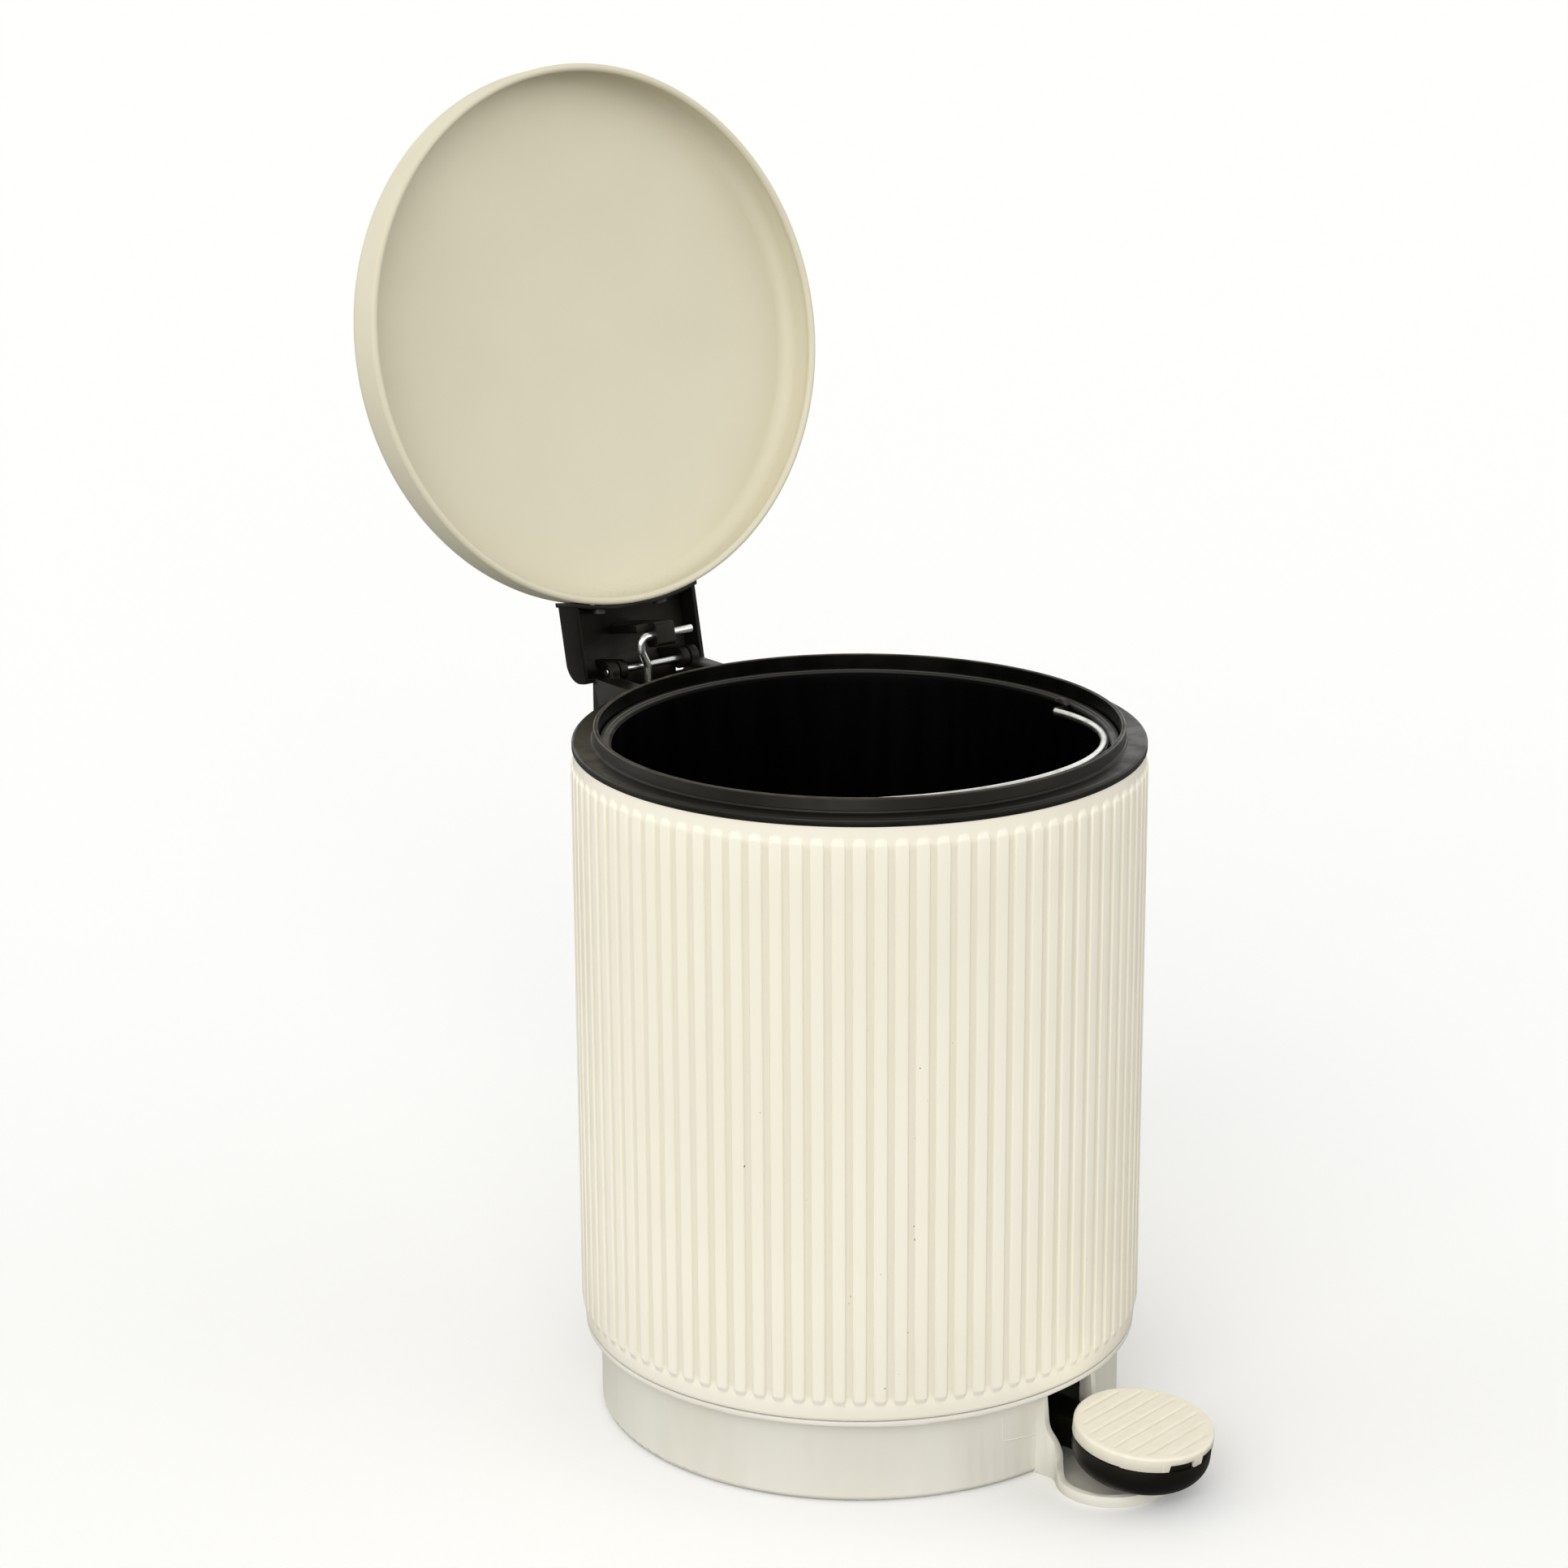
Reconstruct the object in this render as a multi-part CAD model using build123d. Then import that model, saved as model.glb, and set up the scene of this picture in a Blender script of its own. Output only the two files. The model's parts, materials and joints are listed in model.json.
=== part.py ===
from build123d import *
import os
from math import atan2, cos, degrees, radians, sin, sqrt

# A small pedal bin, modelled with its pedal pressed and its lid thrown back.
# Millimetres. The origin is on the drum's axis at the floor. The pedal points along -Y.
# Head pieces (ring, hinge, lid) are drawn with the hinge along +Y and the lid closed,
# then opened about the hinge pin and turned by TWIST, because the head sits on the drum a little askew.

# Driving sizes of the drum and base
SHELL_R = 101.6           # plain bands of the drum
SHEET = 0.8               # steel sheet of the drum
SHELL_INNER_R = SHELL_R - SHEET
SHELL_Z0, SHELL_Z1 = 33.8, 250.6
RIB_COUNT = 90
RIB_CREST_R = 102.9
RIB_WIDTH = 4.8
RIB_Z0, RIB_Z1 = 39.8, 246.2
RIB_END = 2.4             # length over which a rib fades into the band

BASE_R = 96.0
BASE_WALL = 2.2
BASE_H = 32.0
LIP_R = 101.5
LIP_T = 1.6
PLATE_T = 0.8
PLATE_Z = BASE_H + LIP_T  # sheet floor of the drum, lying on the lip and bosses

NECK_HALF = 15.3          # outside of the pedal opening's jambs
TRAY_CENTRE_Y = -120.0
TRAY_HALF_X, TRAY_HALF_Y = 24.0, 19.5
TRAY_RIM = 2.6
TRAY_RIM_Z = 4.0

# Pedal lever
PIVOT_Y, PIVOT_Z = -35.0, 14.0
PIVOT_PIN_R = 2.0
RUNNING_FIT = 0.05        # radial clearance of a shaft in its hole
PAD_Y, PAD_Z = -131.0, 25.2
PAD_R = 25.0
PAD_TILT = 6.9            # outer edge down, with the pedal pressed
CAP_TOP_T = 1.6
CAP_SKIRT = 5.4
NOTCH_TURN = -2.5         # middle of the two notches in the cap's skirt, turned from straight outward
NOTCH_SPREAD = 17.0
DISH_DEPTH = 18.5
DISH_CORNER_R = 9.0
DISH_FLOOR = 4.5
HOOK_Y = 85.0             # where the lift rod meets the lever
EYE_Y, EYE_Z = 82.6, 28.0 # middle of the lever's long eye
EYE_LENGTH, EYE_HEIGHT = 10.0, 5.8
HOOK_DROP = 0.7           # the rod's hook sits this far under the eye's middle

# Head: ring, hinge and lid
TWIST = 10.5              # degrees, head turned clockwise on the drum
RING_R = 102.5
FLANGE_Z0, FLANGE_Z1 = 250.6, 253.4
COLLAR_R, COLLAR_TOP = 94.8, 258.3
COLLAR_INNER_R = 93.0
PIN_Y, PIN_Z = 125.1, 253.7
PIN_R = 1.15
PIN_HALF = 20.4
OPEN_ANGLE = 101.8        # lid swing from closed to the open stop
EAR_X0, EAR_X1 = 17.0, 20.5
EAR_R = 4.2
HOUSING_HALF = 25.5
HOUSING_DECK_Z = 252.0
HOUSING_BACK_Y = 127.0
HOUSING_CORNER_R = 1.5
HOUSING_WALL = 1.8
LID_R, LID_Z0, LID_TOP = 101.25, 254.0, 272.0
LID_T = 0.8
ROLL_R = 1.45
HOOD_HALF = 28.2
HOOD_Z0, HOOD_Z1 = 257.2, 268.1
HOOD_WALL = 1.6
HOOD_BACK_Y = 128.4
LUG_X0, LUG_X1 = 13.0, 16.2   # the hood's lugs on the pin
LUG_R = 4.0
RIVET_ANGLE = 8.0

# Lift rod
WIRE_R = 1.5
CLIP_ANGLE = 121.8        # from straight up to the clip's bore, lid closed, seen from +X
CLIP_ARM = 13.0
CLIP_X0, CLIP_X1 = -2.2, 6.3
CLIP_BACK = 4.8           # bore to the clip's flat side
CLIP_ARM_X0 = -7.4        # the clip's arm reaches over the rod's bend
CLIP_Y = PIN_Y - CLIP_ARM * sin(radians(CLIP_ANGLE))
CLIP_Z = PIN_Z + CLIP_ARM * cos(radians(CLIP_ANGLE))

# Inner bucket and its handle
BUCKET_Z0 = 42.0
BUCKET_RIM_R, BUCKET_RIM_Z = 92.7, 253.0
LEDGE_Z = 251.0
BAIL_WIRE_R = 1.4
BAIL_PIVOT_R = 84.0
BAIL_PIVOT_Z = 249.5
BAIL_REACH = 89.3         # pivot line to the far side of the handle
BAIL_TILT = 4.3           # the handle lies just clear of the bucket's rim
BAIL_HOOK_END = 90.5
BAIL_BEND = 2.4
BAIL_TURN = 162.0         # degrees about +Z from +X to one pivot


def revolved(*corners):
    """Solid of revolution about +Z from (radius, height) corners."""
    outline = Polyline(*[(r, 0, z) for r, z in corners], close=True)
    return revolve(make_face(outline), Axis.Z)


def side_plate(outline, x0, x1):
    """Solid between x0 and x1 with a face drawn on the YZ plane."""
    return Pos(x0, 0, 0) * extrude(outline, amount=x1 - x0, dir=(1, 0, 0))


def side_face(*corners):
    """Face on the YZ plane from (y, z) corners."""
    return make_face(Polyline(*[(0, y, z) for y, z in corners], close=True))


def x_rod(radius, x0, x1, y, z):
    """Round bar along X."""
    return Pos((x0 + x1) / 2, y, z) * Rot(0, 90, 0) * Cylinder(radius, x1 - x0)


def y_rod(radius, x, y0, y1, z):
    """Round bar along Y."""
    return Pos(x, (y0 + y1) / 2, z) * Rot(90, 0, 0) * Cylinder(radius, y1 - y0)


def z_rod(radius, x, y, z0, z1):
    """Upright round bar."""
    return Pos(x, y, (z0 + z1) / 2) * Cylinder(radius, z1 - z0)


def block(x0, x1, y0, y1, z0, z1):
    """Box between two corners."""
    centre = Pos((x0 + x1) / 2, (y0 + y1) / 2, (z0 + z1) / 2)
    return centre * Box(x1 - x0, y1 - y0, z1 - z0)


def mirrored(solid):
    """A solid and its mirror image across the YZ plane."""
    return [solid, mirror(solid, Plane.YZ)]


def on_head(solid):
    """Turns a head piece, drawn with the hinge along +Y, into place."""
    return Rot(0, 0, -TWIST) * solid


def opened(solid):
    """Swings a lid piece from closed to the open stop."""
    return Pos(0, PIN_Y, PIN_Z) * Rot(-OPEN_ANGLE, 0, 0) * Pos(0, -PIN_Y, -PIN_Z) * solid


def edges_at(solid, z, radius=None):
    """Round edges of a solid at a height, and optionally of a radius."""
    found = solid.edges().filter_by(GeomType.CIRCLE).filter_by_position(Axis.Z, z - 0.01, z + 0.01)
    if radius is not None:
        found = found.filter_by(lambda edge: abs(edge.radius - radius) < 0.01)
    return found


# Where screws and rivets go
BOSS_R = 68.0
BASE_SCREW_SPOTS = [(BOSS_R * cos(radians(a)), BOSS_R * sin(radians(a))) for a in (45, 135, 225, 315)]
BASE_SCREW_R = 1.6
CLAMP_X0, CLAMP_X1 = 13.5, 20.5
CLAMP_HALF_Y = 9.0
CLAMP_SCREW_OFFSET = 6.0
CLAMP_TOP_Z = 20.0
CLAMP_SCREW_R = 1.3
CLAMP_SCREW_SPOTS = [
    (side * (CLAMP_X0 + CLAMP_X1) / 2, PIVOT_Y + end * CLAMP_SCREW_OFFSET)
    for side in (-1, 1) for end in (-1, 1)
]
HOUSING_SCREW_X, HOUSING_SCREW_Z = 20.0, 206.0
HOUSING_SCREW_R = 1.3


def rib_bars(width, z0, z1):
    """One upright bar per rib, standing through the drum's wall."""
    bar = Rectangle(6, width)
    plan = Sketch() + [spot * bar for spot in PolarLocations(RIB_CREST_R, RIB_COUNT)]
    return Pos(0, 0, z0) * extrude(plan, z1 - z0)


def outer_shell():
    wall = revolved(
        (SHELL_INNER_R, SHELL_Z0), (SHELL_INNER_R, SHELL_Z1), (SHELL_R, SHELL_Z1),
        (SHELL_R, RIB_Z0 - 0.5), (SHELL_R - 0.3, SHELL_Z0),
    )
    rib_root = SHELL_R - 0.4
    crests = revolved(
        (rib_root, RIB_Z0), (RIB_CREST_R, RIB_Z0 + RIB_END),
        (RIB_CREST_R, RIB_Z1 - RIB_END), (rib_root, RIB_Z1),
    )
    core = z_rod(rib_root, 0, 0, RIB_Z0 - 1, RIB_Z1 + 1)
    ribs = (crests - core) & rib_bars(RIB_WIDTH, RIB_Z0, RIB_Z1)
    hollow = z_rod(RIB_CREST_R - SHEET, 0, 0, 0, RIB_Z1) - z_rod(SHELL_INNER_R - 0.1, 0, 0, 0, RIB_Z1)
    hollows = hollow & rib_bars(RIB_WIDTH - 2 * SHEET, RIB_Z0 + RIB_END, RIB_Z1 - RIB_END)
    rod_window = block(-13, 13, 94, 108, 176, 230)
    screw_holes = mirrored(y_rod(HOUSING_SCREW_R + 0.3, HOUSING_SCREW_X, 94, 108, HOUSING_SCREW_Z))
    return wall + ribs - hollows - on_head(rod_window) - [on_head(hole) for hole in screw_holes]


def shell_bottom_plate():
    flange_r = SHELL_INNER_R - 0.1
    pan = revolved(
        (0, PLATE_Z), (flange_r, PLATE_Z), (flange_r, PLATE_Z + 8),
        (flange_r - PLATE_T, PLATE_Z + 8), (flange_r - PLATE_T, PLATE_Z + PLATE_T), (0, PLATE_Z + PLATE_T),
    )
    rod_slot = block(-4, 13, HOOK_Y - 6, HOOK_Y + 8, PLATE_Z - 1, PLATE_Z + 2)
    holes = [z_rod(BASE_SCREW_R + 0.3, x, y, PLATE_Z - 1, PLATE_Z + 2) for x, y in BASE_SCREW_SPOTS]
    return pan - rod_slot - holes


def tray_outline():
    """Plan of the tongue under the pedal, a neck that swells into a broad rounded end."""
    end = Pos(0, TRAY_CENTRE_Y) * SlotOverall(2 * TRAY_HALF_X, 2 * TRAY_HALF_Y)
    neck = Pos(0, -102) * Rectangle(2 * NECK_HALF, 36)
    outline = end + neck
    waist = [v for v in outline.vertices() if -119 < v.Y < -95 and abs(abs(v.X) - NECK_HALF) < 0.01]
    return fillet(waist, 6)


def base():
    inner_r = BASE_R - BASE_WALL
    cup = revolved(
        (0, 0), (BASE_R, 0), (BASE_R, BASE_H), (LIP_R, BASE_H), (LIP_R, PLATE_Z),
        (inner_r, PLATE_Z), (inner_r, BASE_WALL), (0, BASE_WALL),
    )
    cup = fillet(edges_at(cup, 0), 2.5)

    outline = tray_outline()
    top = BASE_H + 1
    spread = FilletPolyline(
        (0, -97.4, top), (0, -99.0, 18), (0, -106.8, 10.8), (0, -109, TRAY_RIM_Z), (0, -150, TRAY_RIM_Z),
        radius=[7, 4, 3.5],
    )
    above_rim = make_face([
        *spread.edges(), *Polyline((0, -150, TRAY_RIM_Z), (0, -150, top), (0, -97.4, top)).edges(),
    ])
    tongue = extrude(outline, BASE_H) - side_plate(above_rim, -40, 40)
    tongue -= z_rod(BASE_R - 1, 0, 0, -1, BASE_H + 1)
    well = Pos(0, 0, BASE_WALL) * extrude(offset(outline, -TRAY_RIM), BASE_H - BASE_WALL)
    body = cup + tongue - (well & block(-60, 60, -160, -88, 0, BASE_H))

    for x, y in BASE_SCREW_SPOTS:
        body += z_rod(4.0, x, y, BASE_WALL - 0.5, PLATE_Z)
        body -= z_rod(BASE_SCREW_R, x, y, 18, PLATE_Z + 1)
    for x0, x1 in ((-CLAMP_X1, -CLAMP_X0), (CLAMP_X0, CLAMP_X1)):
        body += block(x0, x1, PIVOT_Y - CLAMP_HALF_Y, PIVOT_Y + CLAMP_HALF_Y, BASE_WALL - 0.5, PIVOT_Z)
    for x, y in CLAMP_SCREW_SPOTS:
        body -= z_rod(CLAMP_SCREW_R, x, y, 5, PIVOT_Z + 1)
    return body - x_rod(PIVOT_PIN_R, -30, 30, PIVOT_Y, PIVOT_Z)


def pan_screw(shank_r, head_r, head_h, length):
    """Pan head screw along +Z with its head's underside at z = 0 and a cross slot."""
    head = fillet(edges_at(Pos(0, 0, head_h / 2) * Cylinder(head_r, head_h), head_h), head_h * 0.45)
    shank = Pos(0, 0, -length / 2) * Cylinder(shank_r, length)
    slot = Pos(0, 0, head_h) * (Box(head_r * 1.1, 0.7, head_h) + Box(0.7, head_r * 1.1, head_h))
    return head + shank - slot


def base_screws():
    screw = pan_screw(BASE_SCREW_R, 3.6, 2.2, 15)
    return Compound([Pos(x, y, PLATE_Z + PLATE_T) * screw for x, y in BASE_SCREW_SPOTS])


def pivot_pin():
    pin = x_rod(PIVOT_PIN_R, -22, 22, PIVOT_Y, PIVOT_Z)
    return chamfer(pin.edges().filter_by(GeomType.CIRCLE), 0.4)


def pivot_clamps():
    saddle = block(CLAMP_X0, CLAMP_X1, PIVOT_Y - CLAMP_HALF_Y, PIVOT_Y + CLAMP_HALF_Y, PIVOT_Z + 0.1, CLAMP_TOP_Z)
    saddle = fillet(saddle.edges().filter_by(Axis.X).group_by(Axis.Z)[-1], 2)
    saddle -= x_rod(PIVOT_PIN_R, 0, 30, PIVOT_Y, PIVOT_Z)
    for x, y in CLAMP_SCREW_SPOTS:
        if x > 0:
            saddle -= z_rod(CLAMP_SCREW_R + 0.3, x, y, PIVOT_Z - 1, CLAMP_TOP_Z + 1)
    return Compound(mirrored(saddle))


def clamp_screws():
    screw = pan_screw(CLAMP_SCREW_R, 2.6, 1.6, 13)
    return Compound([Pos(x, y, CLAMP_TOP_Z) * screw for x, y in CLAMP_SCREW_SPOTS])


def on_pad(solid):
    """Puts a pad piece, drawn about z = 0 at the pad's top, onto the tilted end of the lever."""
    return Pos(0, PAD_Y, PAD_Z) * Rot(PAD_TILT, 0, 0) * solid


def pedal_lever():
    seat_r = PAD_R - 1.3
    dish = revolved(
        (0, -DISH_DEPTH), (PAD_R - 0.3, -DISH_DEPTH), (PAD_R - 0.3, -CAP_SKIRT - 0.3),
        (seat_r, -CAP_SKIRT - 0.3), (seat_r, -CAP_TOP_T), (0, -CAP_TOP_T),
    )
    dish = fillet(edges_at(dish, -DISH_DEPTH), DISH_CORNER_R)
    dish -= z_rod(seat_r - 2.4, 0, 0, DISH_FLOOR - DISH_DEPTH, 0)
    dish = on_pad(dish)

    arm_side = side_face(
        (-109, 20.6), (-60, 20.6), (-42, 21.6), (-28, 21.6), (20, 24.5), (60, 29.2), (92, 32.6),
        (92, 24.2), (60, 20.0), (20, 13.6), (-28, 6.4), (-42, 6.4), (-60, 8.6), (-98, 9.2), (-109, 9.2),
    )
    arm = side_plate(arm_side, -7, 7)
    arm += x_rod(8, -12, 12, PIVOT_Y, PIVOT_Z)
    for side in (-1, 1):
        x0, x1 = sorted((side * 2.5, side * 12))
        arm -= block(x0, x1, 62, 96, 0, 40)
    for x0, x1 in ((-10, -2.2), (2.2, 10)):
        arm -= block(x0, x1, -92, -52, 11.8, 18.4)
        arm -= block(x0, x1, -20, 30, 12, 17.6)
    arm -= z_rod(PAD_R - 4, 0, PAD_Y, 0, 40)
    eye = side_plate(Plane.YZ * Pos(EYE_Y, EYE_Z) * SlotOverall(EYE_LENGTH, EYE_HEIGHT), -4, 4)
    return dish + arm - x_rod(PIVOT_PIN_R + RUNNING_FIT, -20, 20, PIVOT_Y, PIVOT_Z) - eye


def pedal_cap():
    cap = revolved(
        (0, -CAP_TOP_T), (PAD_R - 1.2, -CAP_TOP_T), (PAD_R - 1.2, -CAP_SKIRT),
        (PAD_R, -CAP_SKIRT), (PAD_R, 0), (0, 0),
    )
    cap = fillet(edges_at(cap, 0), 1.0)
    for row in range(8):
        cap -= block(-30, 30, (row - 3.5) * 5.6 - 0.5, (row - 3.5) * 5.6 + 0.5, -0.35, 1)
    for turn in (-NOTCH_SPREAD, NOTCH_SPREAD):
        notch = block(-5, 5, -PAD_R - 2, -PAD_R + 2.2, -CAP_SKIRT - 1, -CAP_SKIRT + 2.4)
        cap -= Rot(0, 0, NOTCH_TURN + turn) * notch
    return on_pad(cap)


def top_ring():
    ring = revolved(
        (SHELL_INNER_R - 0.2, 240), (SHELL_INNER_R - 0.2, FLANGE_Z0), (RING_R, FLANGE_Z0), (RING_R, FLANGE_Z1),
        (COLLAR_R + 0.6, FLANGE_Z1), (COLLAR_R + 0.6, FLANGE_Z1 + 0.7), (COLLAR_R, FLANGE_Z1 + 0.7),
        (COLLAR_R, COLLAR_TOP), (COLLAR_INNER_R, COLLAR_TOP), (COLLAR_INNER_R, LEDGE_Z),
        (BUCKET_RIM_R - 1.9, LEDGE_Z), (BUCKET_RIM_R - 1.9, LEDGE_Z - 2), (SHELL_INNER_R - 2, LEDGE_Z - 2),
        (SHELL_INNER_R - 2, 240),
    )
    ring = fillet(edges_at(ring, COLLAR_TOP), 0.6)
    ring = fillet(edges_at(ring, FLANGE_Z1, RING_R), 0.8)
    return on_head(ring)


def housing_outline(inset):
    """Side view of the hinge housing, moved in by a wall thickness."""
    top = HOUSING_DECK_Z - inset
    back = HOUSING_BACK_Y - inset
    corner = max(HOUSING_CORNER_R - inset, 0.2)
    turn_y, turn_z = back - corner, top - corner
    edge = [
        Line((0, 90, 188 + 1.5 * inset), (0, 90, top)),
        Line((0, 90, top), (0, turn_y, top)),
        ThreePointArc(
            (0, turn_y, top), (0, turn_y + corner * sqrt(0.5), turn_z + corner * sqrt(0.5)), (0, back, turn_z)),
        Line((0, back, turn_z), (0, back, 213 + 0.5 * inset)),
        Line((0, back, 213 + 0.5 * inset), (0, 104, 188 + 1.5 * inset)),
        Line((0, 104, 188 + 1.5 * inset), (0, 90, 188 + 1.5 * inset)),
    ]
    return make_face(edge)


def hinge_housing():
    inner_half = HOUSING_HALF - HOUSING_WALL
    casing = side_plate(housing_outline(0), -HOUSING_HALF, HOUSING_HALF)
    casing -= side_plate(housing_outline(HOUSING_WALL), -inner_half, inner_half)
    casing -= block(-EAR_X0, EAR_X0, 90, HOUSING_BACK_Y - HOUSING_WALL, 240, 260)
    for x0, x1 in ((-EAR_X0, 0.6 - LUG_X0), (LUG_X0 - 0.6, EAR_X0)):
        casing -= block(x0, x1, 120, HOUSING_BACK_Y + 1, PIN_Z - LUG_R - 1.4, 260)
    for x0, x1 in ((-EAR_X1, -EAR_X0), (EAR_X0, EAR_X1)):
        casing += x_rod(EAR_R, x0, x1, PIN_Y, PIN_Z)
        casing += block(x0, x1, PIN_Y - EAR_R, HOUSING_BACK_Y, 240, PIN_Z)
        casing += block(x0, x1, 98, PIN_Y + 1.8, 232, HOUSING_DECK_Z)
        casing -= x_rod(PIN_R, x0 - 1, x1 + 1, PIN_Y, PIN_Z)
    for side in (-1, 1):
        x = side * HOUSING_SCREW_X
        casing += y_rod(4.4, x, 98, 112, HOUSING_SCREW_Z)
        casing -= y_rod(HOUSING_SCREW_R, x, 90, 111, HOUSING_SCREW_Z)
    casing -= block(-9, 6, 124, 130, 238.4, 239.9)
    casing -= z_rod(RIB_CREST_R + 0.2, 0, 0, 180, 260)
    return on_head(casing)


def housing_screws():
    screw = Rot(-90, 0, 0) * pan_screw(HOUSING_SCREW_R, 2.75, 1.8, 12)
    seat = sqrt(SHELL_INNER_R ** 2 - (HOUSING_SCREW_X + 2.75) ** 2) - 0.1
    return Compound([
        on_head(Pos(side * HOUSING_SCREW_X, seat, HOUSING_SCREW_Z) * Rot(180, 0, 0) * screw) for side in (-1, 1)
    ])


def hinge_pin():
    pin = x_rod(PIN_R, -PIN_HALF, PIN_HALF, PIN_Y, PIN_Z)
    return on_head(chamfer(pin.edges().filter_by(GeomType.CIRCLE), 0.3))


def rivet_shapes():
    """The two rivets, through the lid's skirt and the hood's front plate."""
    shank = y_rod(1.6, 0, LID_R - LID_T - 0.1, LID_R + 2.2, 262)
    head = y_rod(2.8, 0, LID_R + 1.8, LID_R + 3.4, 262)
    return [Rot(0, 0, side * RIVET_ANGLE) * (shank + head) for side in (-1, 1)]


def lid_rivets():
    return Compound([on_head(opened(rivet)) for rivet in rivet_shapes()])


def lid():
    dish = revolved((0, LID_Z0 + ROLL_R), (LID_R, LID_Z0 + ROLL_R), (LID_R - 0.35, LID_TOP), (0, LID_TOP))
    dish = fillet(edges_at(dish, LID_TOP), 6.5)
    inside_r = LID_R - LID_T
    inside = revolved((0, LID_Z0 - 5), (inside_r, LID_Z0 - 5), (inside_r - 0.35, LID_TOP - LID_T), (0, LID_TOP - LID_T))
    inside = fillet(edges_at(inside, LID_TOP - LID_T), 5.7)
    roll = Pos(0, 0, LID_Z0 + ROLL_R) * Torus(LID_R - ROLL_R + 0.03, ROLL_R)
    return on_head(opened(dish - inside + roll - rivet_shapes()))


def hood_outline(inset):
    """Side view of the hood, moved in by a wall thickness and open below."""
    back, top = HOOD_BACK_Y - inset, HOOD_Z1 - inset
    corner = 8 - inset
    bottom = HOOD_Z0 if inset == 0 else HOOD_Z0 - 5
    edge = [
        Line((0, 90, bottom), (0, 90, top)),
        Line((0, 90, top), (0, back - corner, top)),
        ThreePointArc(
            (0, back - corner, top),
            (0, back - corner + corner * sqrt(0.5), top - corner + corner * sqrt(0.5)),
            (0, back, top - corner)),
        Line((0, back, top - corner), (0, back, bottom)),
        Line((0, back, bottom), (0, 90, bottom)),
    ]
    return make_face(edge)


def lid_bracket():
    inner_half = HOOD_HALF - HOOD_WALL
    plate_r = LID_R + 0.15
    hood = side_plate(hood_outline(0), -HOOD_HALF, HOOD_HALF)
    hood -= side_plate(hood_outline(HOOD_WALL), -inner_half, inner_half)
    hood += z_rod(plate_r + HOOD_WALL, 0, 0, HOOD_Z0 - 0.7, HOOD_Z1 + 0.6) & block(-28.9, 28.9, 80, 110, 250, 270)
    lug_top = HOOD_Z1 - HOOD_WALL / 2
    for x0, x1 in ((-LUG_X1, -LUG_X0), (LUG_X0, LUG_X1)):
        hood += x_rod(LUG_R, x0, x1, PIN_Y, PIN_Z)
        hood += block(x0, x1, PIN_Y - LUG_R, PIN_Y + 2.2, PIN_Z, lug_top)
        hood -= x_rod(PIN_R + RUNNING_FIT, x0 - 1, x1 + 1, PIN_Y, PIN_Z)
    for x0, x1 in ((-EAR_X1 - 0.6, -EAR_X0 + 0.5), (EAR_X0 - 0.5, EAR_X1 + 0.6)):
        hood -= block(x0, x1, PIN_Y, HOOD_BACK_Y + 1, HOOD_Z0 - 1, 259.5)
    hood -= z_rod(plate_r, 0, 0, 240, 280)
    return on_head(opened(hood - rivet_shapes()))


def rod_clip():
    x0, x1 = CLIP_X0, CLIP_X1
    grip = block(x0, x1, CLIP_Y - CLIP_BACK, CLIP_Y + 4.5, CLIP_Z - 3.4, CLIP_Z + 4)
    grip = fillet(grip.edges().filter_by(Axis.X), 1.6)
    arm = block(CLIP_ARM_X0, x1, CLIP_Y - CLIP_BACK, CLIP_Y - WIRE_R - 0.1, CLIP_Z + 2, HOOD_Z1 - HOOD_WALL)
    return on_head(opened(grip + arm - x_rod(WIRE_R + RUNNING_FIT, x0 - 2, x1 + 2, CLIP_Y, CLIP_Z)))


def open_clip_point():
    """Where the clip's bore is with the lid at its open stop."""
    swing = radians(CLIP_ANGLE - OPEN_ANGLE)
    return PIN_Y - CLIP_ARM * sin(swing), PIN_Z + CLIP_ARM * cos(swing)


def head_point(x, y, z):
    """A point given on the lever's axes, seen in the head's own turned axes."""
    c, s = cos(radians(TWIST)), sin(radians(TWIST))
    return x * c - y * s, x * s + y * c, z


def lift_rod():
    top_y, top_z = open_clip_point()
    hook_z = EYE_Z - HOOK_DROP
    route = [
        (16.5, top_y, top_z), (-7.2, top_y, top_z), (-7.2, top_y, 260.5), (-4.4, top_y, 255),
        (-4.4, top_y, 232), (-7.5, 97.4, 205), (-8.6, 94.5, 84),
        head_point(7, HOOK_Y, 58), head_point(7, HOOK_Y, hook_z), head_point(-6.5, HOOK_Y, hook_z),
    ]
    line = FilletPolyline(*route, radius=[2.8, 4, 5, 8, 10, 12, 10, 2.8])
    return on_head(sweep(Plane(line @ 0, z_dir=line % 0) * Circle(WIRE_R), path=line))


def inner_bucket():
    wall_r0, wall_r1 = 77.5, 89.9
    bucket = revolved(
        (0, BUCKET_Z0), (wall_r0, BUCKET_Z0), (wall_r1, LEDGE_Z - 1.5), (wall_r1, LEDGE_Z),
        (BUCKET_RIM_R, LEDGE_Z), (BUCKET_RIM_R, BUCKET_RIM_Z), (BUCKET_RIM_R - 2.4, BUCKET_RIM_Z),
        (88.2, 251.6), (wall_r1 - 1.9, LEDGE_Z - 1.5), (wall_r0 - 1.9, BUCKET_Z0 + 2), (0, BUCKET_Z0 + 2),
    )
    bucket = fillet(edges_at(bucket, BUCKET_Z0), 6)
    bucket = fillet(edges_at(bucket, BUCKET_RIM_Z, BUCKET_RIM_R), 0.7)
    hole = x_rod(BAIL_WIRE_R + RUNNING_FIT, -95, 95, 0, BAIL_PIVOT_Z)
    return bucket - Rot(0, 0, BAIL_TURN) * hole


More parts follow.
